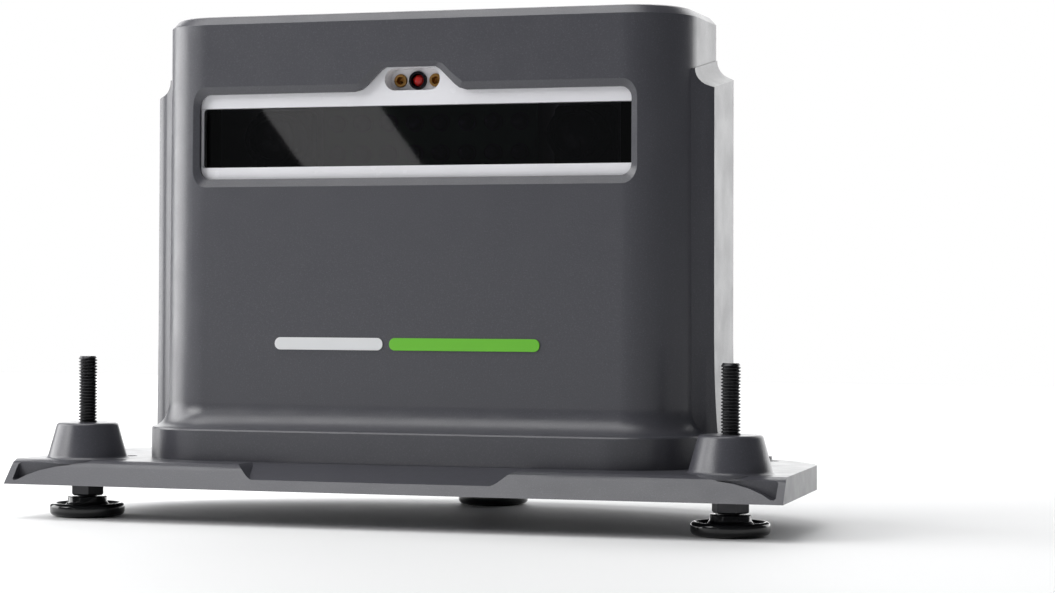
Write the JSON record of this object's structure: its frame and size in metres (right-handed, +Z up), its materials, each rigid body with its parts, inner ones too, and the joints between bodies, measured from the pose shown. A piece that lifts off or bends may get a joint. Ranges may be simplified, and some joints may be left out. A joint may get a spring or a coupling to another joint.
{
  "type": "golf launch monitor in protective case",
  "caption": "Golf launch monitor with a wide smoked window, standing in a dark cast case on a bowed base plate with screw-adjusted levelling feet.",
  "frame": {"origin": "middle of the footprint, on the surface that the feet stand on", "axes": "+X to the right seen from the front, +Y to the back, +Z up; the window faces -Y"},
  "size_m": [0.2566, 0.1322, 0.1638],
  "materials": {
    "case_paint": "textured dark grey powder coat",
    "pad_foam": "soft foam",
    "screw_steel": "plated steel",
    "insert_brass": "machined brass",
    "accent_white": "printed white film",
    "accent_lime": "printed green film",
    "stud_steel": "black oxide steel",
    "foot_black": "glossy black moulding",
    "sole_rubber": "matt rubber",
    "housing_dark": "fine moulded texture",
    "housing_light": "fine moulded texture",
    "bezel_silver": "satin silver white",
    "smoked_glass": "polished smoked glass",
    "black_trim": "matt black",
    "sensor_grey": "satin light grey",
    "barrel_black": "black anodised",
    "red_lens": "polished red dome",
    "emitter_brass": "machined brass",
    "rail_aluminium": "milled aluminium",
    "camera_glass": "coated lens",
    "circuit_board": "green solder mask",
    "led_epoxy": "dark epoxy",
    "shield_steel": "tinned steel",
    "battery_wrap": "shrink wrap",
    "button_plastic": "moulded switch parts"
  },
  "bodies": {
    "case": {"base_plate": "case_paint", "case_hood": "case_paint", "hood_pads": "pad_foam", "hood_screws": "screw_steel", "stud_inserts": "insert_brass", "accent_light": "accent_white", "accent_green": "accent_lime", "front_housing": "housing_dark", "rear_housing": "housing_light", "window_bezel": "bezel_silver", "window_lens": "smoked_glass", "window_gasket": "black_trim", "window_masks": "black_trim", "sensor_plate": "sensor_grey", "laser_barrel": "barrel_black", "laser_lens": "red_lens", "left_emitter": "emitter_brass", "right_emitter": "emitter_brass", "camera_rail": "rail_aluminium", "left_camera": "barrel_black", "right_camera": "barrel_black", "left_camera_lens": "camera_glass", "right_camera_lens": "camera_glass", "flash_board": "circuit_board", "infrared_leds": "led_epoxy", "main_board": "circuit_board", "processor_shield": "shield_steel", "wireless_module": "shield_steel", "battery": "battery_wrap", "port_board": "circuit_board", "usb_socket": "shield_steel", "button_board": "circuit_board", "power_switch": "button_plastic", "monitor_feet": "sole_rubber", "housing_screws": "screw_steel"},
    "left_foot_body": {"left_foot": "foot_black", "left_sole": "sole_rubber"},
    "left_stud_body": {"left_stud": "stud_steel"},
    "right_foot_body": {"right_foot": "foot_black", "right_sole": "sole_rubber"},
    "right_stud_body": {"right_stud": "stud_steel"},
    "rear_foot_body": {"rear_foot": "foot_black", "rear_sole": "sole_rubber"},
    "rear_stud_body": {"rear_stud": "stud_steel"},
    "power_button_body": {"power_button": "button_plastic"}
  },
  "joints": [
    {"name": "left_foot_lift", "type": "slide", "parent": "case", "child": "left_foot_body", "axis": [0, 0, 1], "range_m": [-0.018, 0]},
    {"name": "left_stud_turn", "type": "hinge", "parent": "left_foot_body", "child": "left_stud_body", "pos_m": [-0.108, -0.045, 0.02], "axis": [0, 0, 1], "range_deg": [-6485, 0]},
    {"name": "right_foot_lift", "type": "slide", "parent": "case", "child": "right_foot_body", "axis": [0, 0, 1], "range_m": [-0.018, 0]},
    {"name": "right_stud_turn", "type": "hinge", "parent": "right_foot_body", "child": "right_stud_body", "pos_m": [0.108, -0.045, 0.02], "axis": [0, 0, 1], "range_deg": [-6485, 0]},
    {"name": "rear_foot_lift", "type": "slide", "parent": "case", "child": "rear_foot_body", "axis": [0, 0, 1], "range_m": [-0.018, 0]},
    {"name": "rear_stud_turn", "type": "hinge", "parent": "rear_foot_body", "child": "rear_stud_body", "pos_m": [0, 0.052, 0.02], "axis": [0, 0, 1], "range_deg": [-6485, 0]},
    {"name": "power_button_press", "type": "slide", "parent": "case", "child": "power_button_body", "axis": [0, -1, 0], "range_m": [0, 0.001], "stiffness_N_per_m": 600}
  ],
  "couplings": [
    {"joint": "left_stud_turn", "follows": "left_foot_lift", "rad_per_m": 6283.2},
    {"joint": "right_stud_turn", "follows": "right_foot_lift", "rad_per_m": 6283.2},
    {"joint": "rear_stud_turn", "follows": "rear_foot_lift", "rad_per_m": 6283.2}
  ]
}
